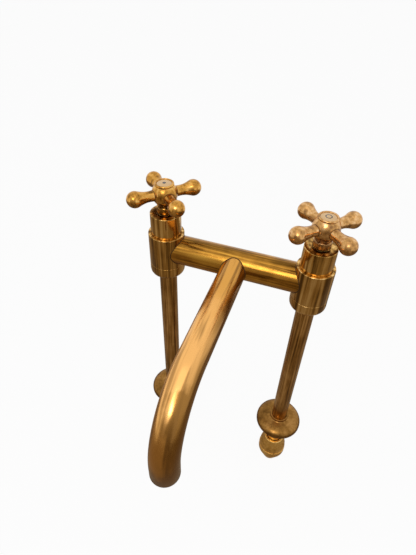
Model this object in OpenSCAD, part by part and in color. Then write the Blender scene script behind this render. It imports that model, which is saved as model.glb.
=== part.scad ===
// Pillar mixer tap of the bridge pattern: two pillars with cross handles, a bridge tube and a fixed spout.
// Millimetres. X runs along the bridge, the spout points to -Y, Z is up, and z = 0 is the worktop's face.
// Each pillar is built at the origin. The right one is the left one mirrored, so the handles turn apart.

/* [Layout] */
// Distance between the two pillars
pillar_spacing = 152; // [130:1:220]
// Height of the bridge's axis above the worktop
bridge_height = 248; // [180:1:320]

/* [Bridge and spout] */
// Outside diameter of the bridge tube
bridge_d = 30.4; // [28:0.1:32]
// Wall of the bridge tube
bridge_wall = 1.6; // [1.2:0.1:2.2]
// Outside diameter of the spout tube
spout_d = 26; // [20:0.1:27]
// Wall of the spout tube
spout_wall = 1.5; // [1:0.1:2.5]
// Angle by which the spout's straight falls away from level
spout_slope = 2.6; // [0:0.1:10]
// Length of the spout's straight, from the bridge's axis
spout_straight = 126; // [90:1:180]
// Radius of the spout's bend, to the middle of the tube
spout_bend_r = 61; // [40:1:90]
// Length of the spout's upright end
spout_drop = 13; // [8:1:60]

/* [Valve body] */
// Outside diameter of the valve body and of its bottom cap
body_d = 36.8; // [36:0.1:42]
// Rim of the valve body above the bridge's axis
body_rise = 19; // [18:0.5:24]
// Seam of the valve body and the bottom cap below the bridge's axis
body_fall = 17.6; // [16.5:0.1:22]
// Chamfer of the valve body's rim
rim_chamfer = 0.9; // [0.3:0.1:1.5]
// Thickness of the web under the valve seat
seat_web = 5.6; // [4:0.1:6]
// Diameter of the chamber round the headwork
chamber_d = 24; // [22:0.5:26]
// Height of that chamber
chamber_h = 17; // [15:0.5:18]
// Diameter of the port from the chamber to the bridge
port_d = 14; // [8:0.5:15]
// Thread that the headwork screws into
headwork_thread_d = 20.7; // [20:0.1:21]
// Depth of the recess that holds the shroud
shroud_recess = 5; // [3:0.5:6]

/* [Bottom cap and leg] */
// Diameter of the threaded spigot that the bottom cap screws onto
spigot_d = 30.8; // [29:0.1:32]
// Length of that spigot
spigot_h = 7; // [5:0.5:10]
// Thickness of the bottom cap's floor
cap_floor = 3.4; // [2.5:0.1:5]
// Radius of the bottom cap's round lower edge
cap_round = 6; // [2:0.5:7]
// Thickness of the fibre washer over the leg
leg_washer_t = 1.5; // [1:0.1:3]
// Diameter of the collar brazed on the leg
leg_collar_d = 28.8; // [26:0.1:29]
// Thickness of that collar
leg_collar_t = 2.5; // [2:0.1:4]
// Outside diameter of the leg tube
leg_d = 19.05; // [16:0.01:20]
// Wall of the leg tube
leg_wall = 1.6; // [1:0.1:2.5]

/* [Shroud] */
// Outside diameter of the shroud
shroud_d = 31; // [30:0.1:32]
// Wall of the shroud
shroud_wall = 1.2; // [0.8:0.1:1.3]
// Top of the shroud above the rim of the valve body
shroud_rise = 23; // [20:0.5:35]
// Thickness of the shroud's top
shroud_top_t = 2.5; // [1.5:0.1:4]
// Diameter of the hole in the shroud's top
shroud_hole_d = 16; // [15.8:0.1:22]

/* [Headwork] */
// Diameter of the barrel that holds the ceramic discs
barrel_d = 19; // [18.6:0.1:19.8]
// Wall of that barrel
barrel_wall = 1.3; // [1:0.1:1.6]
// Thickness of each ceramic disc
disc_t = 3.2; // [2.5:0.1:3.6]
// Inner radius of the water windows in the discs
disc_window_r = 2.4; // [2:0.1:3]
// Angle of each water window
disc_window_angle = 68; // [40:1:75]
// Height of the rubber seat seal
seal_h = 2.4; // [1.5:0.1:3]
// Width of that seal's ring
seal_w = 2.05; // [1.5:0.05:3]
// Rim of the barrel above the seat
barrel_lift = 0.8; // [0.4:0.1:1.2]
// Width of the barrel's two side windows
barrel_window_w = 8; // [5:0.5:9]
// Thickness of the barrel's top, between the windows and the thread
barrel_top_t = 1.2; // [0.8:0.1:2]
// Width of the fixed disc's two keys
key_w = 2.4; // [1.5:0.1:3]
// Thickness of the headwork gasket
gasket_t = 1; // [0.5:0.1:1.5]
// Hexagon of the headwork, across the flats
headwork_hex = 24; // [23:0.1:24.2]
// Height of that hexagon
headwork_hex_h = 5; // [4:0.5:7]
// Diameter of the headwork's neck
neck_d = 15; // [14.6:0.1:15.4]
// Depth of the neck's end below the shroud's top
neck_drop = 2; // [1:0.5:4]
// Depth of the stop pocket in the neck's end
stop_pocket_h = 4; // [3:0.5:5]
// Quarter turn of the handle
handle_turn = 90; // [60:1:120]

/* [Spindle] */
// Diameter of the spindle
spindle_d = 9; // [8.4:0.1:9.4]
// Square of the spindle's upper end, across the flats
square_w = 5.6; // [5:0.1:5.9]
// Length of the square in the handle
square_h = 18.4; // [14:0.1:19]
// Width of the foot that drives the moving disc
foot_w = 6; // [5:0.1:7]
// Height of that foot
foot_h = 3; // [2:0.1:4]
// Width of the tongue under the foot
tongue_w = 2.6; // [2:0.1:3]
// Length of the tongue
tongue_l = 10; // [8:0.5:12]
// Height of the tongue
tongue_h = 1.3; // [1:0.1:1.8]
// Thickness of the O-rings
oring_t = 1.8; // [1.5:0.1:2]
// Distance between the O-rings
oring_pitch = 5; // [3:0.5:7]
// Reach of the stop lug from the spindle's axis
stop_r = 6.1; // [5.6:0.1:6.3]
// Angle of the stop lug
stop_angle = 30; // [20:1:50]
// Angle left free between the lug and each end of its pocket
stop_slack = 1; // [0.5:0.5:2]
// Depth of the lug's root inside the spindle
lug_root = 1; // [0.5:0.1:1.5]
// Outside diameter of the circlip
circlip_d = 11.6; // [10.6:0.1:12]
// Thickness of the circlip
circlip_t = 0.7; // [0.5:0.1:1]
// Depth of the circlip's groove
circlip_groove = 1; // [0.6:0.1:1.2]

/* [Handle] */
// Diameter of the handle's round hub
hub_d = 25.2; // [24.6:0.1:26.4]
// Middle of the hub and of the arms above the shroud's top
arm_rise = 20.5; // [20:0.5:22]
// Diameter of the skirt under the hub
skirt_d = 16.8; // [16:0.1:18]
// Rim of the skirt above the shroud's top
skirt_gap = 1.4; // [0.6:0.1:2]
// Height of the skirt
skirt_h = 7; // [5:0.1:7.2]
// Diameter of the waist between the hub and the skirt
waist_d = 13.2; // [12.6:0.1:13.2]
// Diameter of the boss inside the skirt, which hangs down to the circlip
boss_d = 11; // [10.4:0.1:12]
// Seat of the index ring above the middle of the hub
index_rise = 9.1; // [8.8:0.1:9.4]
// Distance from the handle's axis to the middle of each ball
arm_reach = 29.5; // [28:0.5:38]
// Diameter of the balls
ball_d = 16; // [13:0.1:18]
// Diameter of the arms at their waist
arm_waist_d = 10.2; // [7:0.1:11]
// Diameter of the arms at their root
arm_root_d = 11.6; // [9:0.1:12]
// Distance from the handle's axis to the arms' waist
arm_waist_at = 16; // [14:0.5:18]
// Diameter of the spigot by which each arm is held in the hub
arm_spigot_d = 5; // [4:0.1:5.4]
// Depth of that spigot, measured from the handle's axis
arm_spigot_at = 7.2; // [7:0.1:7.6]

/* [Index and handle screw] */
// Diameter of the index ring
index_d = 18.8; // [17.6:0.1:20]
// Height of the index ring above its seat
index_h = 2.4; // [2.4:0.1:3.2]
// Diameter of the porcelain disc
porcelain_d = 14.4; // [12:0.1:15]
// Thickness of the porcelain disc at its edge
porcelain_t = 1; // [0.9:0.1:1.2]
// Thickness of the index ring's floor
index_floor = 0.7; // [0.6:0.1:0.8]
// Diameter of the index ring's threaded spigot
index_spigot_d = 12.9; // [12:0.1:13.2]
// Length of that spigot
index_spigot_h = 3.8; // [3:0.1:4]
// Diameter of the handle screw's thread
screw_d = 3.9; // [3:0.1:4]
// Length of the handle screw's thread
screw_l = 13; // [8:0.5:14]
// Diameter of the handle screw's head
screw_head_d = 7.6; // [6:0.1:8]
// Height of the handle screw's head
screw_head_h = 2.3; // [1.6:0.1:2.6]
// Depth of the tapped hole beyond the screw's end
tap_runout = 1; // [0.5:0.1:3]
// Thickness of the hub under the screw's head
hub_web = 2.5; // [2:0.1:2.8]

/* [Rose] */
// Diameter of the rose
rose_d = 57.2; // [52:0.1:70]
// Height of the rose's upright rim
rose_rim_h = 2; // [1:0.1:4]
// Height of the rose's dome above that rim
rose_dome_h = 9; // [8:0.1:14]
// Height of the rose's collar above the dome
rose_collar_h = 4; // [2:0.1:6]
// Diameter of the rose's collar
rose_collar_d = 23.4; // [22.6:0.1:27]
// Wall of the rose
rose_wall = 2; // [1.4:0.1:2.4]

/* [Foot shank] */
// Diameter of the shoulder that stands on the worktop
shoulder_d = 36; // [30:0.5:40]
// Thickness of that shoulder
shoulder_t = 3; // [2:0.1:4]
// Diameter of the sleeve that holds the leg
sleeve_d = 24; // [22.5:0.1:26]
// Height of the sleeve above the worktop
sleeve_h = 8; // [6:0.1:8.4]
// Depth of the leg in the foot shank, from the sleeve's end
leg_socket = 6.5; // [4:0.1:7]
// Diameter of the plain neck in the worktop's hole
deck_neck_d = 21.8; // [21.1:0.1:22]
// Length of that neck
deck_neck_h = 11; // [8:0.5:30]
// Diameter of the thread under the worktop
shank_d = 20.95; // [20:0.05:21]
// Length of the shank below the worktop
shank_h = 76.5; // [70:0.5:110]
// Diameter of the water way through the shank
shank_bore_d = 14; // [10:0.5:15]

/* [Back nut and washers] */
// Gap between the plain neck and the rubber washer, as the tap is stored
deck_gap = 1; // [0.5:0.5:3]
// Diameter of the rubber washer under the worktop
deck_washer_d = 34; // [28:0.5:38]
// Thickness of the rubber washer
deck_washer_t = 2; // [1.5:0.1:4]
// Diameter of the brass washer
clamp_washer_d = 32; // [28:0.5:36]
// Thickness of the brass washer
clamp_washer_t = 1.2; // [0.8:0.1:2]
// Back nut, across the flats
back_nut_w = 27; // [26:0.5:32]
// Thickness of the back nut
back_nut_t = 6; // [4:0.5:8]

/* [Tail] */
// Diameter of the bell nut at its upper end
bell_top_d = 26; // [24:0.1:30]
// Diameter of the bell nut at its lower end
bell_d = 35.2; // [32:0.1:38]
// Height of the bell nut
bell_h = 23; // [18:0.5:28]
// Height of the straight band at its lower end
bell_band_h = 2; // [1:0.5:4]
// Chamfer of its upper edge
bell_edge = 0.6; // [0.3:0.1:1]
// Diameter of the tail cone's band
cone_d = 36.2; // [32:0.1:40]
// Height of the band
cone_band_h = 9; // [6:0.5:12]
// Height of the tapered part
cone_h = 23; // [20:0.5:32]
// Diameter of the tail cone's lower end
cone_end_d = 17.2; // [14:0.1:20]
// Depth of the socket for the shank
cone_socket = 15; // [12:0.5:17]
// Thickness of the fibre tail washer
tail_washer_t = 1.5; // [1:0.1:2]
// Core diameter of the thread for the supply hose
hose_core_d = 8.92; // [8:0.01:10]

/* [Clearances] */
// Radial gap of pieces that screw or fit together
fit_gap = 0.05; // [0.03:0.01:0.1]
// Gap between brazed pieces
braze_gap = 0.05; // [0.03:0.01:0.1]
// Gap between the ceramic discs
disc_gap = 0.05; // [0.02:0.01:0.1]
// Gap of the handle above the circlip, and of the circlip above the neck
end_gap = 0.3; // [0.2:0.05:0.5]

/* [Hidden] */
$fn = 64;
e = 1; // how far a cut runs past the face that it opens
bridge_r = bridge_d/2;
spout_r = spout_d/2;
body_r = body_d/2;
leg_r = leg_d/2;

// Levels above the bridge's axis, from the bottom cap up to the index
spigot_z = -body_fall - spigot_h;
collar_z = spigot_z - leg_washer_t - leg_collar_t;
cap_z = collar_z - cap_floor;
seat_z = seat_web - body_fall;
chamber_z = seat_z + chamber_h;
fixed_disc_z = seat_z + seal_h;
moving_disc_z = fixed_disc_z + disc_t + disc_gap;
foot_z = moving_disc_z + disc_t;
barrel_z = seat_z + barrel_lift;
shaft_z = foot_z + foot_h;
recess_z = body_rise - shroud_recess;
hex_z = recess_z + gasket_t;
shroud_top_z = body_rise + shroud_rise;
neck_z = shroud_top_z - neck_drop;
lug_z = neck_z - stop_pocket_h + disc_gap;
lug_h = stop_pocket_h/2;
groove_z = neck_z + end_gap - fit_gap;
groove_h = circlip_t + 2*fit_gap;
square_z = groove_z + groove_h + end_gap;
boss_z = square_z + end_gap;
skirt_z = shroud_top_z + skirt_gap;
arm_z = shroud_top_z + arm_rise;
socket_top_z = square_z + square_h + fit_gap;
web_z = socket_top_z + hub_web;
index_z = arm_z + index_rise;
porcelain_z = index_z + index_floor;

// Radii that two pieces share
disc_r = barrel_d/2 - barrel_wall - fit_gap;
seal_r = disc_r - 2*fit_gap;
seat_bore_r = seal_r - seal_w;
foot_r = disc_r - fit_gap;
spindle_r = spindle_d/2;
ring_core_r = spindle_r - oring_t;
lug_root_r = spindle_r - lug_root;
stop_pocket_angle = handle_turn + stop_angle + 2*stop_slack;

// Levels below the worktop, measured from its face
deck_gap_z = -deck_neck_h - deck_gap;
clamp_z = deck_gap_z - deck_washer_t;
nut_z = clamp_z - clamp_washer_t;
socket_z = sleeve_h - leg_socket;
tail_z = -shank_h + cone_socket - tail_washer_t;
cone_z = tail_z - cone_band_h - cone_h;
leg_top_z = bridge_height + spigot_z - leg_washer_t;

// Points of an arc in the plane of a turned outline
function arc(x, z, r, a0, a1, n = 8) =
    [for (i = [0:n]) let (a = a0 + (a1 - a0)*i/n) [x + r*cos(a), z + r*sin(a)]];

// Points of a quarter of an ellipse, from its level end up to its upright end
function ellipse(x, z, rx, rz, n = 10) =
    [for (i = [0:n]) let (a = 90*i/n) [x + rx*cos(a), z + rz*sin(a)]];

// Puts a piece of the valve stack on its pillar, at the bridge's height
module on_pillar(side, height = bridge_height) {
    translate([side*pillar_spacing/2, 0, height])
        mirror([side > 0 ? 1 : 0, 0, 0])
            children();
}

// Puts a piece of the foot on its pillar, at the worktop
module on_deck(side) {
    on_pillar(side, 0) children();
}

module tube(r_out, r_in, z0, z1) {
    translate([0, 0, z0])
        difference() {
            cylinder(r = r_out, h = z1 - z0);
            translate([0, 0, -e]) cylinder(r = r_in, h = z1 - z0 + 2*e);
        }
}

module hexagon(across, z0, z1) {
    translate([0, 0, z0]) cylinder(d = across/cos(30), h = z1 - z0, $fn = 6);
}

module square_bar(w, z0, z1) {
    translate([-w/2, -w/2, z0]) cube([w, w, z1 - z0]);
}

// Handle

module handle_hub() {
    r = hub_d/2;
    lower = acos(waist_d/2/r);
    upper = asin(index_rise/r);
    outline = concat(
        [[0, boss_z], [boss_d/2, boss_z], [boss_d/2, skirt_z], [skirt_d/2 - 0.5, skirt_z],
         [skirt_d/2, skirt_z + 0.5]],
        ellipse(skirt_d/2 - 1.4, skirt_z + skirt_h - 1.8, 1.4, 1.8, 6),
        [[waist_d/2, skirt_z + skirt_h]],
        arc(0, arm_z, r, -lower, upper, 18),
        [[0, index_z]]);
    color("goldenrod")
        difference() {
            rotate_extrude() polygon(outline);
            square_bar(square_w + 2*fit_gap, boss_z - e, socket_top_z);
            translate([0, 0, socket_top_z - e]) cylinder(d = screw_d + 4*fit_gap, h = hub_web + 2*e);
            translate([0, 0, web_z]) cylinder(d = index_spigot_d + 2*fit_gap, h = index_z - web_z + e);
            at_arms() cylinder(d = arm_spigot_d + 2*fit_gap, h = hub_d);
        }
}

// The four places of the arms, set diagonally to the bridge
module at_arms() {
    for (i = [0:3])
        translate([0, 0, arm_z]) rotate([0, 90, 45 + 90*i])
            translate([0, 0, arm_spigot_at - fit_gap]) children();
}

module handle_arms() {
    ball_r = ball_d/2;
    waist_r = arm_waist_d/2;
    root_r = arm_root_d/2;
    // The neck runs smoothly into the ball, four fifths of the way from the waist's width to the ball's
    meet = asin((waist_r + 4*ball_r)/5/ball_r);
    meet_x = arm_reach - ball_r*cos(meet);
    meet_r = ball_r*sin(meet);
    run = meet_x - arm_waist_at;
    neck = [for (i = [0:8]) let (t = i/8, s = t*t*(3 - 2*t))
        [waist_r + (meet_r - waist_r)*s + (t*t*t - t*t)*run/tan(meet), arm_waist_at + run*t]];
    root = [for (i = [0:3]) let (t = i/4)
        [root_r + (waist_r - root_r)*sin(90*t), arm_spigot_at + (arm_waist_at - arm_spigot_at)*t]];
    ball = [for (i = [1:10]) let (a = 180 - meet - (180 - meet)*i/10)
        [ball_r*sin(a), arm_reach + ball_r*cos(a)]];
    color("darkgoldenrod")
        for (i = [0:3])
            translate([0, 0, arm_z]) rotate([0, 90, 45 + 90*i])
                union() {
                    difference() {
                        rotate_extrude() polygon(concat([[0, arm_spigot_at]], root, neck, ball));
                        sphere(d = hub_d + 2*fit_gap);
                    }
                    translate([0, 0, arm_spigot_at])
                        cylinder(d = arm_spigot_d, h = arm_waist_at - arm_spigot_at);
                }
}

module index_ring() {
    r = index_d/2;
    inner = porcelain_d/2 + fit_gap;
    round_r = min((r - inner)/2, index_h/2) - 0.1;
    top_z = index_z + index_h;
    color("gold")
        rotate_extrude()
            polygon(concat(
                [[0, index_z - index_spigot_h], [index_spigot_d/2, index_z - index_spigot_h],
                 [index_spigot_d/2, index_z], [r - round_r, index_z]],
                arc(r - round_r, index_z + round_r, round_r, -90, 0, 5),
                arc(r - round_r, top_z - round_r, round_r, 0, 90, 5),
                [[inner, top_z], [inner, porcelain_z], [0, porcelain_z]]));
}

module index_disc() {
    color("ivory")
        translate([0, 0, porcelain_z])
            intersection() {
                cylinder(d = porcelain_d, h = index_h);
                translate([0, 0, porcelain_t + 0.5 - 3*porcelain_d]) sphere(r = 3*porcelain_d, $fn = 96);
            }
}

module handle_screw() {
    color("silver")
        translate([0, 0, web_z])
            difference() {
                union() {
                    translate([0, 0, -screw_l]) cylinder(d = screw_d, h = screw_l);
                    cylinder(d = screw_head_d, h = screw_head_h);
                }
                translate([-screw_head_d, -0.5, screw_head_h - 1]) cube([2*screw_head_d, 1, 1 + e]);
            }
}

// Spindle and discs

module spindle() {
    color("khaki")
        difference() {
            union() {
                translate([0, 0, foot_z])
                    intersection() {
                        cylinder(r = foot_r, h = foot_h);
                        translate([-disc_r, -foot_w/2, 0]) cube([2*disc_r, foot_w, foot_h]);
                    }
                translate([-tongue_l/2, -tongue_w/2, foot_z - tongue_h])
                    cube([tongue_l, tongue_w, tongue_h]);
                translate([0, 0, shaft_z]) cylinder(r = spindle_r, h = square_z - shaft_z);
                square_bar(square_w, square_z, square_z + square_h);
                translate([0, 0, lug_z])
                    rotate_extrude(angle = stop_angle)
                        translate([lug_root_r, 0]) square([stop_r - lug_root_r, lug_h]);
            }
            at_orings() tube(spindle_r + e, ring_core_r, -oring_t/2 - fit_gap, oring_t/2 + fit_gap);
            tube(spindle_r + e, spindle_r - circlip_groove, groove_z, groove_z + groove_h);
            translate([0, 0, web_z - screw_l - tap_runout])
                cylinder(d = screw_d + 2*fit_gap, h = screw_l + tap_runout);
        }
}

// The two places of the O-rings, in the upper half of the headwork's neck
module at_orings() {
    for (i = [0, 1])
        translate([0, 0, (hex_z + headwork_hex_h + lug_z)/2 + (i - 0.5)*oring_pitch]) children();
}

module spindle_orings() {
    color("dimgray")
        at_orings()
            rotate_extrude()
                translate([ring_core_r + oring_t/2, 0]) circle(d = oring_t - fit_gap/2, $fn = 32);
}

module circlip() {
    color("silver")
        translate([0, 0, groove_z + fit_gap])
            rotate_extrude(angle = 300)
                translate([spindle_r - circlip_groove + fit_gap, 0])
                    square([circlip_d/2 - spindle_r + circlip_groove - fit_gap, circlip_t]);
}

// A ceramic disc with two water windows, which start at the angle given
module ceramic_disc(start) {
    difference() {
        cylinder(r = disc_r, h = disc_t);
        for (i = [0, 1])
            rotate(start + 180*i)
                translate([0, 0, -e])
                    rotate_extrude(angle = disc_window_angle)
                        translate([disc_window_r, 0]) square([seat_bore_r - disc_window_r, disc_t + 2*e]);
    }
}

// Shut, the moving disc's windows lie a quarter turn from the fixed disc's
module moving_disc() {
    color("white")
        difference() {
            translate([0, 0, moving_disc_z]) ceramic_disc(90 - disc_window_angle/2);
            translate([-tongue_l/2 - fit_gap, -tongue_w/2 - fit_gap, foot_z - tongue_h - fit_gap])
                cube([tongue_l + 2*fit_gap, tongue_w + 2*fit_gap, tongue_h + e]);
        }
}

module fixed_disc() {
    color("whitesmoke")
        translate([0, 0, fixed_disc_z])
            union() {
                ceramic_disc(-disc_window_angle/2);
                intersection() {
                    tube(barrel_d/2, disc_r - 0.6, 0, disc_t);
                    translate([-key_w/2, -barrel_d, 0]) cube([key_w, 2*barrel_d, disc_t]);
                }
            }
}

module seat_seal() {
    color("black")
        tube(seal_r, seat_bore_r, seat_z, seat_z + seal_h);
}

// Headwork

module headwork_body() {
    inner_top = chamber_z - barrel_top_t;
    thread_r = headwork_thread_d/2 - fit_gap;
    color("peru")
        difference() {
            union() {
                translate([0, 0, barrel_z]) cylinder(d = barrel_d, h = chamber_z - barrel_z + e);
                translate([0, 0, chamber_z]) cylinder(r = thread_r, h = hex_z - chamber_z);
                hexagon(headwork_hex, hex_z, hex_z + headwork_hex_h);
                translate([0, 0, hex_z]) cylinder(d = neck_d, h = neck_z - hex_z);
            }
            translate([0, 0, barrel_z - e]) cylinder(r = disc_r + fit_gap, h = inner_top - barrel_z + e);
            translate([0, 0, barrel_z]) cylinder(r = spindle_r + fit_gap, h = neck_z - barrel_z + e);
            translate([-barrel_d, -barrel_window_w/2, foot_z])
                cube([2*barrel_d, barrel_window_w, inner_top - foot_z]);
            translate([-key_w/2 - fit_gap, -barrel_d, barrel_z - e])
                cube([key_w + 2*fit_gap, 2*barrel_d, fixed_disc_z + disc_t + fit_gap - barrel_z + e]);
            // The spindle's lug runs between the two ends of this pocket: they are the handle's stops
            translate([0, 0, neck_z - stop_pocket_h])
                rotate(-stop_slack)
                    rotate_extrude(angle = stop_pocket_angle)
                        translate([lug_root_r, 0])
                            square([stop_r + fit_gap - lug_root_r, stop_pocket_h + e]);
        }
}

module headwork_gasket() {
    color("saddlebrown")
        tube(shroud_d/2 - shroud_wall - 0.4, headwork_thread_d/2 + fit_gap, recess_z, hex_z);
}

module shroud() {
    r = shroud_d/2;
    inner = r - shroud_wall;
    color("goldenrod")
        rotate_extrude()
            polygon(concat(
                [[inner, recess_z], [r, recess_z]],
                arc(r - 0.8, shroud_top_z - 0.8, 0.8, 0, 90, 4),
                [[shroud_hole_d/2 + 0.3, shroud_top_z], [shroud_hole_d/2, shroud_top_z - 0.3],
                 [shroud_hole_d/2, shroud_top_z - shroud_top_t], [inner, shroud_top_z - shroud_top_t]]));
}

// Valve body, bottom cap and leg

module valve_body() {
    port_z = (seat_z + chamber_z)/2;
    color("goldenrod")
        difference() {
            union() {
                rotate_extrude()
                    polygon([[0, -body_fall], [body_r - 0.2, -body_fall], [body_r, -body_fall + 0.2],
                             [body_r, body_rise - rim_chamfer], [body_r - rim_chamfer, body_rise],
                             [0, body_rise]]);
                translate([0, 0, spigot_z]) cylinder(d = spigot_d, h = spigot_h + e);
            }
            translate([0, 0, spigot_z - e]) cylinder(r = seat_bore_r, h = spigot_h + seat_web + 2*e);
            translate([0, 0, seat_z]) cylinder(d = chamber_d, h = chamber_h);
            translate([0, 0, chamber_z - e])
                cylinder(d = headwork_thread_d, h = recess_z - chamber_z + 2*e);
            translate([0, 0, recess_z]) cylinder(r = shroud_d/2 + fit_gap, h = shroud_recess + e);
            translate([0, 0, port_z]) rotate([0, 90, 0]) cylinder(d = port_d, h = body_d);
        }
}

module bottom_cap() {
    bore = spigot_d/2 + fit_gap;
    hole = leg_r + fit_gap;
    color("goldenrod")
        rotate_extrude()
            polygon(concat(
                [[hole, cap_z]],
                arc(body_r - cap_round, cap_z + cap_round, cap_round, -90, 0, 8),
                [[body_r, -body_fall - 0.2], [body_r - 0.2, -body_fall],
                 [bore, -body_fall], [bore, collar_z], [hole, collar_z]]));
}

module leg_washer() {
    color("firebrick")
        tube(leg_collar_d/2, leg_r - leg_wall, spigot_z - leg_washer_t, spigot_z);
}

module leg() {
    color("darkgoldenrod")
        difference() {
            union() {
                translate([0, 0, socket_z]) cylinder(r = leg_r, h = leg_top_z - socket_z);
                translate([0, 0, leg_top_z - leg_collar_t]) cylinder(d = leg_collar_d, h = leg_collar_t);
            }
            translate([0, 0, socket_z - e]) cylinder(r = leg_r - leg_wall, h = leg_top_z - socket_z + 2*e);
        }
}

// Foot

module rose() {
    collar_r = rose_collar_d/2;
    dome_x = collar_r + 1.4;
    dome_z = rose_rim_h + rose_dome_h;
    top_z = dome_z + rose_collar_h;
    w = rose_wall;
    hole = leg_r + 2*fit_gap;
    outer = concat(
        [[rose_d/2, 0]],
        ellipse(dome_x, rose_rim_h, rose_d/2 - dome_x, rose_dome_h),
        [[collar_r, dome_z + 1.4], [collar_r, top_z - 0.6], [collar_r - 0.6, top_z], [hole, top_z]]);
    ceiling = max(sleeve_h + 0.3, dome_z - w);
    inner = concat(
        [[hole, ceiling], [dome_x - w/2, ceiling]],
        [for (i = [1:8]) let (a = 90 - 90*i/8)
            [dome_x - w/2 + (rose_d/2 - dome_x - w/2)*cos(a),
             rose_rim_h - 0.4 + (ceiling - rose_rim_h + 0.4)*sin(a)]],
        [[rose_d/2 - w, 0]]);
    color("darkgoldenrod")
        rotate_extrude() polygon(concat(outer, inner));
}

module foot_shank() {
    color("peru")
        difference() {
            union() {
                cylinder(d = sleeve_d, h = sleeve_h);
                cylinder(d = shoulder_d, h = shoulder_t);
                translate([0, 0, -deck_neck_h]) cylinder(d = deck_neck_d, h = deck_neck_h);
                translate([0, 0, -shank_h]) cylinder(d = shank_d, h = shank_h - deck_neck_h);
            }
            translate([0, 0, socket_z]) cylinder(r = leg_r + fit_gap, h = leg_socket + e);
            translate([0, 0, -shank_h - e]) cylinder(d = shank_bore_d, h = shank_h + sleeve_h);
        }
}

module deck_washer() {
    color("black")
        tube(deck_washer_d/2, shank_d/2 + fit_gap, clamp_z, deck_gap_z);
}

module clamp_washer() {
    color("goldenrod")
        tube(clamp_washer_d/2, shank_d/2 + 2*fit_gap, nut_z, clamp_z);
}

module back_nut() {
    color("goldenrod")
        difference() {
            hexagon(back_nut_w, nut_z - back_nut_t, nut_z);
            translate([0, 0, nut_z - back_nut_t - e])
                cylinder(r = shank_d/2 + fit_gap, h = back_nut_t + 2*e);
        }
}

module bell_nut() {
    flare = bell_d/2 - bell_top_d/2;
    bore = shank_d/2 + fit_gap;
    flare_z = tail_z + bell_band_h;
    flare_h = bell_h - bell_band_h - bell_edge;
    color("goldenrod")
        rotate_extrude()
            polygon(concat(
                [[bore, tail_z], [bell_d/2, tail_z], [bell_d/2, flare_z]],
                [for (i = [1:8]) let (t = i/8)
                    [bell_d/2 - flare*sin(90*t)*t, flare_z + flare_h*t]],
                [[bell_top_d/2 - bell_edge, tail_z + bell_h], [bore, tail_z + bell_h]]));
}

module tail_washer() {
    color("firebrick")
        tube(shank_d/2 - 0.3, shank_bore_d/2, -shank_h - tail_washer_t, -shank_h);
}

module tail_cone() {
    taper_z = tail_z - cone_band_h;
    color("goldenrod")
        difference() {
            rotate_extrude()
                polygon([[0, cone_z], [cone_end_d/2 - 1, cone_z], [cone_end_d/2, cone_z + 1],
                         [cone_d/2, taper_z], [cone_d/2, tail_z - 0.3], [cone_d/2 - 0.3, tail_z],
                         [0, tail_z]]);
            translate([0, 0, tail_z - cone_socket]) cylinder(r = shank_d/2 + fit_gap, h = cone_socket + e);
            translate([0, 0, cone_z - e]) cylinder(d = hose_core_d, h = cone_h + cone_band_h);
        }
}

// Bridge and spout

module bridge_tube() {
    half = pillar_spacing/2;
    color("goldenrod")
        translate([0, 0, bridge_height])
            difference() {
                translate([-half, 0, 0]) rotate([0, 90, 0]) cylinder(r = bridge_r, h = pillar_spacing);
                translate([-half - e, 0, 0]) rotate([0, 90, 0])
                    cylinder(r = bridge_r - bridge_wall, h = pillar_spacing + 2*e);
                for (side = [-1, 1])
                    translate([side*half, 0, -body_d]) cylinder(r = body_r + braze_gap, h = 2*body_d);
                spout_axis() cylinder(r = spout_r - spout_wall, h = 2*bridge_d);
            }
}

// Stands the Z axis along the spout's straight, from the bridge's axis outwards
module spout_axis() {
    rotate([90 + spout_slope, 0, 0]) children();
}

module spout_tube() {
    inner_r = spout_r - spout_wall;
    turn = 90 - spout_slope;
    color("sandybrown")
        translate([0, 0, bridge_height])
            difference() {
                spout_axis()
                    union() {
                        tube(spout_r, inner_r, 0, spout_straight);
                        // The bend turns about a level axis that lies below the straight
                        translate([0, -spout_bend_r, spout_straight]) {
                            rotate([90, 0, 90])
                                rotate_extrude(angle = turn)
                                    translate([spout_bend_r, 0])
                                        difference() {
                                            circle(r = spout_r);
                                            circle(r = inner_r);
                                        }
                            // The upright end laps the bend by a hair, so that the two are one solid
                            rotate([turn, 0, 0])
                                translate([0, spout_bend_r, 0])
                                    tube(spout_r + 0.02, inner_r - 0.02, -0.5, spout_drop);
                        }
                    }
                translate([-bridge_d, 0, 0]) rotate([0, 90, 0])
                    cylinder(r = bridge_r + braze_gap, h = 2*bridge_d);
            }
}

on_pillar(-1) handle_hub();  // left_handle_hub
on_pillar(-1) handle_arms();  // left_handle_arms
on_pillar(-1) index_ring();  // left_index_ring
on_pillar(-1) index_disc();  // left_index_disc
on_pillar(-1) handle_screw();  // left_handle_screw
on_pillar(-1) spindle();  // left_spindle
on_pillar(-1) circlip();  // left_circlip
on_pillar(-1) spindle_orings();  // left_spindle_orings
on_pillar(-1) moving_disc();  // left_moving_disc
on_pillar(-1) shroud();  // left_shroud
on_pillar(-1) headwork_body();  // left_headwork_body
on_pillar(-1) headwork_gasket();  // left_headwork_gasket
on_pillar(-1) fixed_disc();  // left_fixed_disc
on_pillar(-1) seat_seal();  // left_seat_seal
on_pillar(-1) valve_body();  // left_valve_body
on_pillar(-1) bottom_cap();  // left_bottom_cap
on_pillar(-1) leg_washer();  // left_leg_washer
on_deck(-1) leg();  // left_leg
on_deck(-1) rose();  // left_rose
on_deck(-1) foot_shank();  // left_foot_shank
on_deck(-1) deck_washer();  // left_deck_washer
on_deck(-1) clamp_washer();  // left_clamp_washer
on_deck(-1) back_nut();  // left_back_nut
on_deck(-1) bell_nut();  // left_bell_nut
on_deck(-1) tail_washer();  // left_tail_washer
on_deck(-1) tail_cone();  // left_tail_cone
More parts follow.
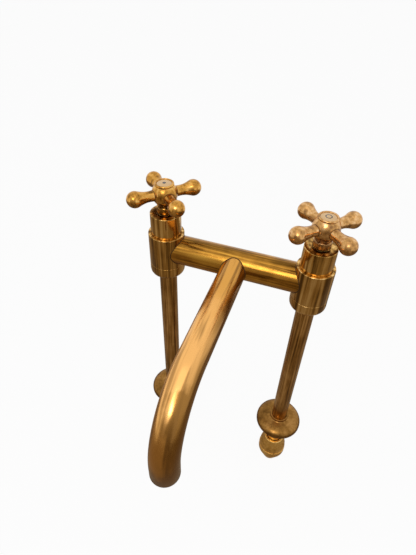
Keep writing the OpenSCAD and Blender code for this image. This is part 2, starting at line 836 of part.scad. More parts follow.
on_pillar(1) handle_hub();  // right_handle_hub
on_pillar(1) handle_arms();  // right_handle_arms
on_pillar(1) index_ring();  // right_index_ring
on_pillar(1) index_disc();  // right_index_disc
on_pillar(1) handle_screw();  // right_handle_screw
on_pillar(1) spindle();  // right_spindle
on_pillar(1) circlip();  // right_circlip
on_pillar(1) spindle_orings();  // right_spindle_orings
on_pillar(1) moving_disc();  // right_moving_disc
on_pillar(1) shroud();  // right_shroud
on_pillar(1) headwork_body();  // right_headwork_body
on_pillar(1) headwork_gasket();  // right_headwork_gasket
on_pillar(1) fixed_disc();  // right_fixed_disc
on_pillar(1) seat_seal();  // right_seat_seal
on_pillar(1) valve_body();  // right_valve_body
on_pillar(1) bottom_cap();  // right_bottom_cap
on_pillar(1) leg_washer();  // right_leg_washer
on_deck(1) leg();  // right_leg
on_deck(1) rose();  // right_rose
on_deck(1) foot_shank();  // right_foot_shank
on_deck(1) deck_washer();  // right_deck_washer
on_deck(1) clamp_washer();  // right_clamp_washer
on_deck(1) back_nut();  // right_back_nut
on_deck(1) bell_nut();  // right_bell_nut
on_deck(1) tail_washer();  // right_tail_washer
on_deck(1) tail_cone();  // right_tail_cone
bridge_tube();
spout_tube();
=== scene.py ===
import math

import bmesh
import bpy
from mathutils import Euler, Matrix, Vector


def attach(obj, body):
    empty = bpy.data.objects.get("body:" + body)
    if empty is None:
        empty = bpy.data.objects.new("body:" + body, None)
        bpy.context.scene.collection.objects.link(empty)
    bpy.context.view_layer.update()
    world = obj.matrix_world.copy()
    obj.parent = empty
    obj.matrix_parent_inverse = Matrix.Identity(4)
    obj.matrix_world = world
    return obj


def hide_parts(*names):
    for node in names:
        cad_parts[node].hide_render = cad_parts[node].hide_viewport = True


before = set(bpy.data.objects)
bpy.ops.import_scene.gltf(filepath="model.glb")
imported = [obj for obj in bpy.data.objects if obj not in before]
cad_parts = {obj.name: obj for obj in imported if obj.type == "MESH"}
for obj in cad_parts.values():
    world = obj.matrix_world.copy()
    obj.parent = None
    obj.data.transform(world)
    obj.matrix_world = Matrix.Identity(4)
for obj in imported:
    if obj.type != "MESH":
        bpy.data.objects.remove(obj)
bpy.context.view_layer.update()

# Sizes of the tap in millimetres, as its CAD source has them. Handles, shrouds, bodies and caps are measured
# from the bridge's axis, and legs and feet from the worktop

HALF_SPACING = 76.0
BRIDGE_Z = 248.0
BRIDGE_R = 15.2
BRIDGE_BORE_R = 13.6
BRAZE_GAP = 0.05

SPOUT_R = 13.0
SPOUT_BORE_R = 11.5
SPOUT_SLOPE = math.radians(2.6)
SPOUT_STRAIGHT = 126.0
SPOUT_BEND = 61.0
SPOUT_DROP = 13.0
MOUTH_ROUNDING = 0.45

HUB_R = 12.6
HUB_Z = 62.5
HUB_TOP_Z = 71.6
WAIST_R = 6.6
WAIST_Z = 50.5
SKIRT_R = 8.4
SKIRT_Z = 43.4
SKIRT_TOP_Z = 48.6
SKIRT_TOP_WIDTH = 1.4
SKIRT_TOP_RISE = 1.8
BOSS_R = 5.5
BOSS_Z = 41.65
SPINDLE_HOLE_R = 4.1
SPINDLE_HOLE_Z = 59.8
SCREW_HOLE_R = 2.05
INDEX_WELL_R = 6.5
INDEX_WELL_Z = 62.3

ARM_REACH = 29.5
ARM_ROOT_R = 5.8
ARM_ROOT_AT = 11.6
ARM_CUP_R = 5.25
ARM_WAIST_R = 5.1
ARM_WAIST_AT = 16.0
ARM_SPIGOT_AT = 7.2
BALL_R = 8.0

RING_R = 9.4
RING_TOP_Z = 74.0
RING_HOLE_R = 7.25
RING_FLOOR_Z = 72.3
RING_SPIGOT_R = 6.4
RING_SPIGOT_Z = 67.8
DISC_R = 7.18
DISC_FOOT_Z = 72.32
DISC_EDGE_Z = 73.28
DISC_TOP_Z = 73.8
MARK_FOOT_Z = 73.5

SHROUD_R = 15.5
SHROUD_BORE_R = 14.3
SHROUD_HOLE_R = 8.0
SHROUD_FOOT_Z = 14.05
SHROUD_ROOF_Z = 39.5
SHROUD_TOP_Z = 42.0

BODY_R = 18.4
BODY_TOP_Z = 19.0
BODY_FOOT_Z = -17.6
BODY_SOCKET_R = 15.62
BODY_SOCKET_Z = 14.0
BODY_THREAD_R = 10.35
BODY_SPIGOT_R = 15.4
BODY_SPIGOT_Z = -24.6
CHAMBER_R = 12.0
CHAMBER_TOP_Z = 5.0
CHAMBER_FLOOR_Z = -12.0
SEAT_HOLE_R = 6.0

CAP_FOOT_Z = -32.0
CAP_FLOOR_Z = -28.6
CAP_TOP_Z = -17.66
CAP_SOCKET_R = 15.45
CAP_HOLE_R = 9.58
CAP_ROUNDING = 6.0

LEG_R = 9.525
LEG_BORE_R = 7.925
LEG_FOOT_Z = 1.5
LEG_TOP_Z = 221.9
LEG_COLLAR_R = 14.4
LEG_COLLAR_Z = 219.4

ROSE_R = 28.6
ROSE_RIM = 2.0
ROSE_DOME_WIDTH = 15.5
ROSE_DOME_RISE = 9.0
ROSE_HOLLOW_Z = 1.6
ROSE_HOLLOW_WIDTH = 14.5
ROSE_HOLLOW_RISE = 7.4
ROSE_COLLAR_R = 11.7
ROSE_HOLE_R = 9.62
ROSE_TOP_Z = 15.0

SHANK_BORE_R = 7.0
SHANK_CORE_R = 9.6
SHANK_NECK_R = 10.9
SHANK_NECK_Z = -11.0
SHANK_FOOT_Z = -76.5
SHOULDER_R = 18.0
SHOULDER_Z = 3.0
SLEEVE_R = 12.0
SLEEVE_Z = 8.0

THREAD_PITCH = 1.814
THREAD_CREST_R = 10.47
THREAD_CREST_HALF = 0.14
THREAD_ROOT_R = 9.5
THREAD_ROOT_HALF = 0.8
THREAD_FOOT_Z = -75.6
THREAD_TOP_Z = -12.0
NUT_BORE_R = 10.53

# The rubber washer, the brass one and the back nut are wound up to the top of the thread, one under another
WASHER_BORE_R = 10.6
RUBBER_WASHER_R = 17.0
RUBBER_WASHER_Z = -14.0
BRASS_WASHER_R = 16.0
BRASS_WASHER_Z = -15.2
NUT_ACROSS_FLATS = 27.0
NUT_BEVEL = 1.1
NUT_FACE_INSET = 0.4
NUT_FOOT_Z = -21.2

BELL_R = 17.6
BELL_TOP_R = 13.0
BELL_TOP_Z = -40.0
BELL_NECK_Z = -40.6
BELL_SKIRT_Z = -61.0
BELL_FOOT_Z = -63.0
TAIL_R = 18.1
TAIL_TIP_R = 8.6
TAIL_TOP_Z = -63.06
TAIL_BAND_Z = -72.0
TAIL_SOCKET_Z = -78.0
TAIL_FOOT_Z = -95.0
HOSE_HOLE_R = 4.46

# Every pillar piece is made on the Z axis and then set on its pillar
PILLARS = {"left": -HALF_SPACING, "right": HALF_SPACING}

# The residue in a joint is a thin round line that stands a little proud of the smaller piece
ARM_LINE = 0.5
TUBE_LINE = 0.8
LINE_PROUD = 0.1
ARM_LINE_R = 5.3
ARM_LINE_AT = 11.45

# How finely round shapes are drawn, and how near two points are that count as one
TURN_STEPS = 96
ARM_STEPS = 64
BEND_STEPS = 56
ROUNDING_STEPS = 5
THREAD_STEPS = 40
LINE_STEPS = 96
ARM_LINE_STEPS = 48
MERGED = 1e-3

MM_IN_M = 1000.0


# The camera stands where the photograph was taken from, above and in front of the tap

scene = bpy.context.scene
camera_data = bpy.data.cameras.new("camera")
camera_data.sensor_width = 36.0
camera_data.lens = 27.57
camera_data.clip_start = 0.01
camera = bpy.data.objects.new("camera", camera_data)
camera.location = (0.076899, -0.322546, 0.517300)
camera.rotation_euler = Euler([math.radians(a) for a in (48.713, -1.499, 19.628)], "XYZ")
scene.collection.objects.link(camera)
scene.camera = camera
scene.view_settings.view_transform = "Standard"


# Helpers for the materials

# Buffing lines are this share as deep as the waves under them
STREAK_RELIEF = 0.03


def colour(code):
    """The linear colour of an sRGB hex value."""
    parts = [int(code[i:i + 2], 16)/255 for i in (1, 3, 5)]
    return tuple(p/12.92 if p <= 0.04045 else ((p + 0.055)/1.055)**2.4 for p in parts) + (1.0,)


def add(tree, kind, values=(), links=(), **settings):
    """Adds a node with its settings, its sockets' values and what is linked to its sockets."""
    made = tree.nodes.new("ShaderNode" + kind)
    for name, value in settings.items():
        setattr(made, name, value)
    for socket, value in values:
        made.inputs[socket].default_value = value
    for socket, source in links:
        tree.links.new(source, made.inputs[socket])
    return made


def new_material(name):
    """An empty material, and its tree."""
    material = bpy.data.materials.new(name)
    material.use_nodes = True
    material.node_tree.nodes.clear()
    return material, material.node_tree


def finish_material(tree, shader):
    """Links the shader to the material's output."""
    add(tree, "OutputMaterial", links=[("Surface", shader.outputs[0])])


def per_mm(size):
    """Scale of a noise whose features are this many millimetres across, on coordinates in metres."""
    return MM_IN_M/size


def brass(name, tones, rough, grain, streak_mm=3.0, streaking=1.6, blotch_mm=24, blotching=1.2,
          wave_mm=20, wave_depth=0.02, centre=(0.0, 0.0, 0.0), shade=None):
    """Unlacquered brass, cast or drawn, then buffed by hand.

    Its three tones run from where it is rubbed bright to where the air has browned it, in soft blotches and
    in streaks along the buffing. The buffing also leaves the surface slightly wavy, which bends the
    reflections. The shade is painted shade: two heights over the centre, in millimetres, and how much darker
    the brass is painted past the second than before the first.
    """
    material, tree = new_material(name)
    place_on_it = add(tree, "TexCoord").outputs["Object"]
    centred = add(tree, "Mapping", values=[("Location", [-c/MM_IN_M for c in centre])],
                  links=[("Vector", place_on_it)]).outputs[0]
    lengthwise = add(tree, "Mapping", values=[("Scale", grain)], links=[("Vector", centred)]).outputs[0]
    blotches = add(tree, "TexNoise",
                   values=[("Scale", per_mm(blotch_mm)), ("Detail", 4.0), ("Roughness", 0.6)],
                   links=[("Vector", centred)]).outputs["Fac"]
    # Buffing lines are finer than a hair: they are drawn a few mm apart, so that they show as soft streaks
    streaks = add(tree, "TexNoise",
                  values=[("Scale", per_mm(streak_mm)), ("Detail", 3.0), ("Roughness", 0.6)],
                  links=[("Vector", lengthwise)]).outputs["Fac"]
    # Both noises lie round a half, and so does the tone that they make
    tone = add(tree, "Math", operation="MULTIPLY_ADD",
               values=[(1, blotching), (2, 0.5 - (blotching + streaking)/2)],
               links=[(0, blotches)]).outputs[0]
    tone = add(tree, "Math", operation="MULTIPLY_ADD", values=[(1, streaking)],
               links=[(0, streaks), (2, tone)]).outputs[0]
    # Painted shade: the tone is made darker between two heights, for tops or undersides that the light leaves
    # darker
    if shade:
        start, end, change = shade
        height = add(tree, "SeparateXYZ", links=[("Vector", centred)]).outputs["Z"]
        painted_shade = add(tree, "MapRange", interpolation_type="SMOOTHSTEP",
                       values=[("From Min", start/MM_IN_M), ("From Max", end/MM_IN_M), ("To Max", change)],
                       links=[("Value", height)]).outputs[0]
        tone = add(tree, "Math", operation="ADD", links=[(0, tone), (1, painted_shade)]).outputs[0]
    # The first half of the tone's range goes from bright to browned, and the second half on to dark
    browned = add(tree, "MapRange", values=[("From Max", 0.5)], links=[("Value", tone)]).outputs[0]
    darkened = add(tree, "MapRange", values=[("From Min", 0.5)], links=[("Value", tone)]).outputs[0]
    base = add(tree, "Mix", data_type="RGBA", values=[(6, colour(tones[0])), (7, colour(tones[1]))],
               links=[(0, browned)]).outputs[2]
    base = add(tree, "Mix", data_type="RGBA", values=[(7, colour(tones[2]))],
               links=[(0, darkened), (6, base)]).outputs[2]
    dullness = add(tree, "MapRange", values=[("To Min", rough[0]), ("To Max", rough[1])],
                   links=[("Value", tone)]).outputs[0]
    waves = add(tree, "TexNoise", values=[("Scale", per_mm(wave_mm)), ("Detail", 1.0)],
                links=[("Vector", centred)]).outputs["Fac"]
    relief = add(tree, "Math", operation="MULTIPLY_ADD", values=[(1, STREAK_RELIEF)],
                 links=[(0, streaks), (2, waves)]).outputs[0]
    bump = add(tree, "Bump", values=[("Strength", 1.0), ("Distance", wave_depth/MM_IN_M)],
               links=[("Height", relief)]).outputs[0]
    finish_material(tree, add(tree, "BsdfPrincipled", values=[("Metallic", 1.0)],
                              links=[("Base Color", base), ("Roughness", dullness), ("Normal", bump)]))
    return material


# The spout's colours along it: where each starts and where it has taken over, in mm from the bridge's axis.
# The peach is its tone; the darker browns from the bend down are painted shade
SPOUT_ROOT_TONE = "#DCA04E"
SPOUT_TONES_AND_SHADE = ((35, 105, "#F7BA6E"), (160, 190, "#CC944C"), (192, 212, "#B4823E"), (208, 226, "#80592E"))
SPOUT_PAINTED_SHADE = "#8C622C"
SPOUT_DRIPS = "#8A6232"

# How far the blotches and the streaks move those places at most, in mm, and what that comes to on average
BLOTCH_WANDER = 70
STREAK_WANDER = 20
MEAN_WANDER = (BLOTCH_WANDER + STREAK_WANDER)/2

# The painted shade lies on the right flank, from this far across to this far, in mm
PAINTED_SHADE_EDGE = (10.5, 18.0)
STREAK_ACROSS = 14
# The painted shade creeps over the top of the bend and then leaves it: from where to where along the spout,
# and by how much
PAINTED_SHADE_CREEP = ((140, 177, 10.5), (177, 203, -9.5))


def spout_finish():
    """The spout's satin brass: tan at its root, peach where hands rub it, and darker from the bend down as
    painted shade.

    A painted shade lies on its right flank and over the top of the bend, and brown drips run along it. All of
    it follows the tube as it was before bending.
    """
    material, tree = new_material("satin_spout_brass")
    place_on_it = add(tree, "Attribute", attribute_name="straightened").outputs["Vector"]
    lengthwise = add(tree, "Mapping", values=[("Scale", (1.0, 1.0, 0.08))],
                     links=[("Vector", place_on_it)]).outputs[0]
    streaks = add(tree, "TexNoise", values=[("Scale", per_mm(5.0)), ("Detail", 2.0), ("Roughness", 0.5)],
                  links=[("Vector", lengthwise)]).outputs["Fac"]
    blotches = add(tree, "TexNoise", values=[("Scale", per_mm(20.0)), ("Detail", 3.0)],
                   links=[("Vector", place_on_it)]).outputs["Fac"]
    parts = add(tree, "SeparateXYZ", links=[("Vector", place_on_it)]).outputs
    wandering = add(tree, "Math", operation="MULTIPLY_ADD", values=[(1, BLOTCH_WANDER/MM_IN_M)],
                    links=[(0, blotches), (2, parts["Z"])]).outputs[0]
    along = add(tree, "Math", operation="MULTIPLY_ADD", values=[(1, STREAK_WANDER/MM_IN_M)],
                links=[(0, streaks), (2, wandering)]).outputs[0]

    base = None
    # From the bend down the tones darken as painted shade
    for start, end, tone in SPOUT_TONES_AND_SHADE:
        reached = add(tree, "MapRange", interpolation_type="SMOOTHSTEP",
                      values=[("From Min", (start + MEAN_WANDER)/MM_IN_M),
                              ("From Max", (end + MEAN_WANDER)/MM_IN_M)],
                      links=[("Value", along)]).outputs[0]
        below = [(6, base)] if base else []
        base = add(tree, "Mix", data_type="RGBA", values=[(6, colour(SPOUT_ROOT_TONE)), (7, colour(tone))],
                   links=[(0, reached)] + below).outputs[2]

    across = add(tree, "Math", operation="MULTIPLY_ADD", values=[(1, STREAK_ACROSS/MM_IN_M)],
                 links=[(0, streaks), (2, parts["X"])]).outputs[0]
    for start, end, shade_creep in PAINTED_SHADE_CREEP:
        shade_crept = add(tree, "MapRange", interpolation_type="SMOOTHSTEP",
                    values=[("From Min", (start + MEAN_WANDER)/MM_IN_M),
                            ("From Max", (end + MEAN_WANDER)/MM_IN_M), ("To Max", shade_creep/MM_IN_M)],
                    links=[("Value", along)]).outputs[0]
        across = add(tree, "Math", operation="ADD", links=[(0, across), (1, shade_crept)]).outputs[0]
    # Painted shade on the right flank and over the top of the bend
    painted_flank_shade = add(tree, "MapRange", interpolation_type="SMOOTHSTEP",
                  values=[("From Min", PAINTED_SHADE_EDGE[0]/MM_IN_M), ("From Max", PAINTED_SHADE_EDGE[1]/MM_IN_M),
                          ("To Max", 0.9)],
                  links=[("Value", across)]).outputs[0]
    base = add(tree, "Mix", data_type="RGBA", values=[(7, colour(SPOUT_PAINTED_SHADE))],
               links=[(0, painted_flank_shade), (6, base)]).outputs[2]
    dripped = add(tree, "MapRange", interpolation_type="SMOOTHSTEP",
                  values=[("From Min", 0.48), ("From Max", 0.68), ("To Max", 0.65)],
                  links=[("Value", streaks)]).outputs[0]
    base = add(tree, "Mix", data_type="RGBA", values=[(7, colour(SPOUT_DRIPS))],
               links=[(0, dripped), (6, base)]).outputs[2]

    dullness = add(tree, "MapRange",
                   values=[("From Min", 0.35), ("From Max", 0.65), ("To Min", 0.16), ("To Max", 0.3)],
                   links=[("Value", blotches)]).outputs[0]
    relief = add(tree, "Math", operation="MULTIPLY_ADD", values=[(1, STREAK_RELIEF)],
                 links=[(0, streaks), (2, blotches)]).outputs[0]
    bump = add(tree, "Bump", values=[("Strength", 1.0), ("Distance", 0.08/MM_IN_M)],
               links=[("Height", relief)]).outputs[0]
    finish_material(tree, add(tree, "BsdfPrincipled", values=[("Metallic", 1.0)],
                              links=[("Base Color", base), ("Roughness", dullness), ("Normal", bump)]))
    return material


# The brass finishes

# Streaks run along the buffing, so the noise that draws them is drawn out that way
UPRIGHT_STREAKS = (1.0, 1.0, 0.03)
STREAKS_ALONG_BRIDGE = (0.04, 1.0, 1.0)
NO_STREAKS = (1.0, 1.0, 1.0)
TURNING_MARKS = (1.0, 1.0, 3.0)
BRIDGE_AXIS = (0, 0, BRIDGE_Z)

# Drawn and turned brass of the valve bodies: buffed bright, with an amber-brown patina and strong upright
# streaks that are partly buffing marks and partly painted reflections
body_brass = brass("buffed_body_brass", tones=("#ECC482", "#B98B46", "#684920"), rough=(0.1, 0.18),
                   grain=UPRIGHT_STREAKS, streak_mm=4.4, streaking=3.6, blotching=0.6, wave_mm=22)

# The shrouds: the bodies' brass in lighter tones, painted light against their dark reflections of the
# handles, with the same upright streaks, partly painted reflections, and a painted shade on their flat tops
shroud_brass = brass("shroud_brass_painted_light_and_shade", tones=("#F6D08C", "#CC9C52", "#7C5A28"), rough=(0.1, 0.18),
                     grain=UPRIGHT_STREAKS, streak_mm=4.4, streaking=3.6, blotching=0.6, wave_mm=22,
                     centre=BRIDGE_AXIS, shade=(41.2, 41.9, 0.3))

# The bridge is the same brass, yellower, with its streaks along the tube and a painted shade that darkens its
# top
bridge_brass = brass("buffed_bridge_brass", tones=("#D8A444", "#B47E30", "#74501C"), rough=(0.14, 0.24),
                     grain=STREAKS_ALONG_BRIDGE, streak_mm=2.6, streaking=2.8, blotching=1.2, wave_mm=17,
                     wave_depth=0.05, centre=BRIDGE_AXIS, shade=(9, 14, 0.25))

# The spout is handled most: satin on top, peach where it is worn, with brown drips, and painted shade
# darkening its bend and right flank
spout_brass = spout_finish()

# Drawn brass tube of the legs, browner, with upright lines
leg_brass = brass("drawn_leg_brass", tones=("#DDB072", "#A67A3E", "#64441E"), rough=(0.14, 0.24),
                  grain=UPRIGHT_STREAKS, streak_mm=2.6, streaking=2.8, blotching=0.8, wave_mm=24)

# Cast handles, buffed and dulled by hands, with painted shade darkening their undersides: golden on the left,
# paler on the right
left_handle_brass = brass("handled_cast_brass_hot", tones=("#EAB868", "#C68E3E", "#6E4C22"),
                          rough=(0.14, 0.26), grain=NO_STREAKS, streaking=1.0, blotch_mm=7, blotching=2.4,
                          wave_mm=12, wave_depth=0.015, centre=(-HALF_SPACING, 0, BRIDGE_Z + HUB_Z),
                          shade=(3, -7, 0.35))
right_handle_brass = brass("handled_cast_brass_cold", tones=("#EEC490", "#CA985A", "#8C6640"),
                           rough=(0.18, 0.32), grain=NO_STREAKS, streak_mm=4.0, streaking=0.9, blotch_mm=8,
                           blotching=2.2, wave_mm=12, wave_depth=0.015,
                           centre=(HALF_SPACING, 0, BRIDGE_Z + HUB_Z), shade=(3, -7, 0.35))

# The rose is splashed and seldom rubbed, so its patina is brown
rose_brass = brass("browned_rose_brass", tones=("#AE8148", "#8A622E", "#60411B"), rough=(0.26, 0.4),
                   grain=NO_STREAKS, streaking=1.0, blotch_mm=18, blotching=2.0, wave_mm=18,
                   wave_depth=0.04)

# The nuts and tails: satin, in lighter, yellower tones than the brass above, painted light for their bright
# sheen
foot_brass = brass("satin_foot_brass", tones=("#FFDC8E", "#E6B664", "#A67C38"), rough=(0.28, 0.4),
                   grain=NO_STREAKS, streaking=1.0, blotch_mm=18, blotching=1.6, wave_mm=18,
                   wave_depth=0.04)

# Machined brass of the headwork and spindle: brighter and yellower, with close turning marks
plain_brass = brass("machined_brass", tones=("#DDB464", "#C29A4C", "#A07A38"), rough=(0.2, 0.3),
                    grain=TURNING_MARKS, streaking=1.0, blotch_mm=12, blotching=1.0, wave_mm=10)


# The other finishes

def oxide_line():
    """Black-brown oxide and polish residue left in a joint: dull, and darker than any of the brass."""
    material, tree = new_material("joint_oxide")
    place_on_it = add(tree, "TexCoord").outputs["Object"]
    crust = add(tree, "TexNoise", values=[("Scale", per_mm(4.0)), ("Detail", 3.0)],
                links=[("Vector", place_on_it)]).outputs["Fac"]
    base = add(tree, "Mix", data_type="RGBA", values=[(6, colour("#241708")), (7, colour("#5A3E18"))],
               links=[(0, crust)]).outputs[2]
    finish_material(tree, add(tree, "BsdfPrincipled", values=[("Metallic", 0.6), ("Roughness", 0.55)],
                              links=[("Base Color", base)]))
    return material


def speckled(name, light, dark, grain_mm, rough, depth=0.0, metallic=0.0, coat=0.0):
    """A plain piece whose colour and roughness vary a little with its grain. The grain's depth is in mm."""
    material, tree = new_material(name)
    place_on_it = add(tree, "TexCoord").outputs["Object"]
    grain = add(tree, "TexNoise", values=[("Scale", per_mm(grain_mm)), ("Detail", 3.0)],
                links=[("Vector", place_on_it)]).outputs["Fac"]
    base = add(tree, "Mix", data_type="RGBA", values=[(6, colour(dark)), (7, colour(light))],
               links=[(0, grain)]).outputs[2]
    dullness = add(tree, "MapRange", values=[("To Min", rough[0]), ("To Max", rough[1])],
                   links=[("Value", grain)]).outputs[0]
    shader = add(tree, "BsdfPrincipled", values=[("Metallic", metallic), ("Coat Weight", coat)],
                 links=[("Base Color", base), ("Roughness", dullness)])
    if depth:
        bump = add(tree, "Bump", values=[("Distance", depth/MM_IN_M)], links=[("Height", grain)])
        tree.links.new(bump.outputs[0], shader.inputs["Normal"])
    finish_material(tree, shader)
    return material


joint_oxide = oxide_line()
# Glazed porcelain of the indices: warm white, glossy, faintly mottled under the glaze
porcelain = speckled("glazed_porcelain", "#F2C98C", "#DBB074", 6.0, (0.14, 0.22), depth=0.01, coat=0.3)
# Enamel fired into the index: blue-black and glossy
enamel = speckled("fired_enamel", "#3A3440", "#1E1A24", 2.0, (0.2, 0.3), coat=0.4)
# Lapped alumina: plain white, with a silky shine
alumina = speckled("lapped_alumina", "#F4F2EC", "#E4E0D6", 3.0, (0.15, 0.25))
# Stainless steel of the screws and circlips, bright from pickling
stainless = speckled("stainless_steel", "#C8C8C6", "#A6A6A4", 1.5, (0.25, 0.38), depth=0.005, metallic=1.0)
# Moulded black rubber: matt, with a slight bloom
rubber = speckled("moulded_rubber", "#2B2A29", "#171616", 2.5, (0.6, 0.8), depth=0.02)
# Pressed red fibre: matt, with short paper-like flecks
fibre = speckled("pressed_fibre", "#8E3A2A", "#632016", 1.2, (0.7, 0.85), depth=0.03)


# Helpers for the meshes, which are made in millimetres

def between(start, end, steps):
    """Evenly spaced values from the start to the end, both included."""
    return [start + (end - start)*i/steps for i in range(steps + 1)]


def oval(x, z, width, height, angles):
    """Points of an ellipse of an outline, at angles in degrees from +X."""
    return [(x + width*math.cos(math.radians(a)), z + height*math.sin(math.radians(a))) for a in angles]


def outlined(outline):
    """A flat outline in the XZ plane. A corner is (radius, height), or (radius, height, rounding)."""
    bm = bmesh.new()
    corners = [bm.verts.new((entry[0], 0, entry[1])) for entry in outline]
    bm.faces.new(corners)
    for corner, entry in zip(corners, outline):
        if len(entry) > 2:
            bmesh.ops.bevel(bm, geom=[corner], offset=entry[2], offset_type="OFFSET",
                            segments=ROUNDING_STEPS, profile=0.5, affect="VERTICES", material=-1)
    return bm


def turned(outline, steps=TURN_STEPS):
    """The outline spun once about the Z axis, like a piece turned on a lathe."""
    bm = outlined(outline)
    bmesh.ops.delete(bm, geom=bm.faces[:], context="FACES_ONLY")
    on_axis = [e for e in bm.edges if max(abs(v.co.x) for v in e.verts) < MERGED]
    bmesh.ops.delete(bm, geom=on_axis, context="EDGES")
    bmesh.ops.spin(bm, geom=bm.verts[:] + bm.edges[:], cent=(0, 0, 0), axis=(0, 0, 1),
                   angle=math.tau, steps=steps, use_merge=True)
    bmesh.ops.remove_doubles(bm, verts=bm.verts[:], dist=MERGED)
    bmesh.ops.recalc_face_normals(bm, faces=bm.faces[:])
    return bm


def join(bm, other):
    """Takes another mesh into this one."""
    made = bpy.data.meshes.new("joined")
    other.to_mesh(made)
    other.free()
    bm.from_mesh(made)
    bpy.data.meshes.remove(made)


def new_verts(grown):
    """The points that an operator has made."""
    return [part for part in grown["geom"] if isinstance(part, bmesh.types.BMVert)]


def new_edges(geometry):
    """The edges among what an operator has made."""
    return [part for part in geometry if isinstance(part, bmesh.types.BMEdge)]


def circle(bm, radius, matrix):
    """The edges of a new circle."""
    around = set(bmesh.ops.create_circle(bm, segments=TURN_STEPS, radius=radius, matrix=matrix)["verts"])
    return [e for e in bm.edges if around.issuperset(e.verts)]


def piece(name, bm, material, body, replaced=()):
    """Makes the mesh a piece of the tap, in metres, riding on its body."""
    bmesh.ops.scale(bm, vec=(1/MM_IN_M, 1/MM_IN_M, 1/MM_IN_M), verts=bm.verts[:])
    mesh = bpy.data.meshes.new(name)
    bm.to_mesh(mesh)
    bm.free()
    for polygon in mesh.polygons:
        polygon.use_smooth = True
    mesh.set_sharp_from_angle(angle=math.radians(30))
    mesh.materials.append(material)
    obj = bpy.data.objects.new(name, mesh)
    scene.collection.objects.link(obj)
    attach(obj, body)
    if replaced:
        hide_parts(*replaced)
    return obj


def on_pillar(side, name, bm, z, material, body, slot, *replaced):
    """Sets a mesh on a pillar as a piece. Its name and the nodes it replaces are given without their side."""
    bmesh.ops.translate(bm, vec=(PILLARS[side], 0, z), verts=bm.verts[:])
    return piece(f"{side}_{name}", bm, material, body, [f"{side}_{node}" for node in replaced])


def bead(name, points, thickness, body):
    """A thin closed line of residue along the points of a joint."""
    line = bpy.data.curves.new(name, "CURVE")
    line.dimensions = "3D"
    line.bevel_depth = thickness/2/MM_IN_M
    line.bevel_resolution = 2
    spline = line.splines.new("POLY")
    spline.points.add(len(points) - 1)
    for made, point in zip(spline.points, points):
        made.co = (*[c/MM_IN_M for c in point], 1)
    spline.use_cyclic_u = True
    drawn = bpy.data.objects.new(name + "_line", line)
    mesh = bpy.data.meshes.new_from_object(drawn)
    bpy.data.objects.remove(drawn)
    bpy.data.curves.remove(line)
    bm = bmesh.new()
    bm.from_mesh(mesh)
    bpy.data.meshes.remove(mesh)
    bmesh.ops.remove_doubles(bm, verts=bm.verts[:], dist=MERGED/MM_IN_M)
    bmesh.ops.recalc_face_normals(bm, faces=bm.faces[:])
    bmesh.ops.scale(bm, vec=(MM_IN_M, MM_IN_M, MM_IN_M), verts=bm.verts[:])
    return piece(name, bm, joint_oxide, body)


# Outlines of the pillar pieces, from the handle down

def hub_outline():
    """The hub: a ball cut flat on top, a round-shouldered skirt and a boss below, hollow for the spindle."""
    lower = math.degrees(math.acos(WAIST_R/HUB_R))
    upper = math.degrees(math.asin((HUB_TOP_Z - HUB_Z)/HUB_R))
    shoulder = oval(SKIRT_R - SKIRT_TOP_WIDTH, SKIRT_TOP_Z, SKIRT_TOP_WIDTH, SKIRT_TOP_RISE,
                    range(0, 91, 15))
    ball = oval(0, HUB_Z, HUB_R, HUB_R, between(1 - lower, upper, 30))
    below = [(SPINDLE_HOLE_R, BOSS_Z), (BOSS_R, BOSS_Z, 0.4), (BOSS_R, SKIRT_Z), (SKIRT_R, SKIRT_Z, 0.5)]
    inside = [(INDEX_WELL_R, HUB_TOP_Z), (INDEX_WELL_R, INDEX_WELL_Z), (SCREW_HOLE_R, INDEX_WELL_Z),
              (SCREW_HOLE_R, SPINDLE_HOLE_Z), (SPINDLE_HOLE_R, SPINDLE_HOLE_Z)]
    return below + shoulder + [(WAIST_R, WAIST_Z, 0.1)] + ball + inside


def arm_outline():
    """One arm on the Z axis from the hub's middle: a cupped root, a waist and a round end, like a club."""
    # The neck runs into the ball where it has swelled by four fifths from its waist to the ball's radius
    meet = math.asin((ARM_WAIST_R + 4*BALL_R)/5/BALL_R)
    meet_at = ARM_REACH - BALL_R*math.cos(meet)
    meet_r = BALL_R*math.sin(meet)
    run = meet_at - ARM_WAIST_AT
    cup_r = HUB_R + BRAZE_GAP
    edge = math.degrees(math.asin(ARM_CUP_R/cup_r))
    cup = [(cup_r*math.sin(math.radians(a)), cup_r*math.cos(math.radians(a))) for a in between(0, edge, 6)]
    root = []
    for at in between(ARM_ROOT_AT, ARM_WAIST_AT, 6)[:-1]:
        eased = math.sin(math.pi/2*(at - ARM_SPIGOT_AT)/(ARM_WAIST_AT - ARM_SPIGOT_AT))
        root.append((ARM_ROOT_R + (ARM_WAIST_R - ARM_ROOT_R)*eased, at))
    neck = []
    for t in between(0, 1, 12):
        eased = t*t*(3 - 2*t)
        neck.append((ARM_WAIST_R + (meet_r - ARM_WAIST_R)*eased + (t**3 - t**2)*run/math.tan(meet),
                     ARM_WAIST_AT + run*t))
    ball = [(BALL_R*math.sin(a), ARM_REACH + BALL_R*math.cos(a))
            for a in [(math.pi - meet)*(1 - i/20) for i in range(1, 20)]]
    return cup + root + neck + ball + [(0, ARM_REACH + BALL_R)]


def index_ring_outline():
    """The flat ring round the porcelain, with a rounded edge and a spigot into the hub."""
    seat = HUB_TOP_Z + BRAZE_GAP
    return [(0, RING_SPIGOT_Z), (RING_SPIGOT_R, RING_SPIGOT_Z, 0.2), (RING_SPIGOT_R, seat),
            (RING_R, seat, 1.1), (RING_R, RING_TOP_Z, 1.15), (RING_HOLE_R, RING_TOP_Z, 0.6),
            (RING_HOLE_R, RING_FLOOR_Z), (0, RING_FLOOR_Z)]


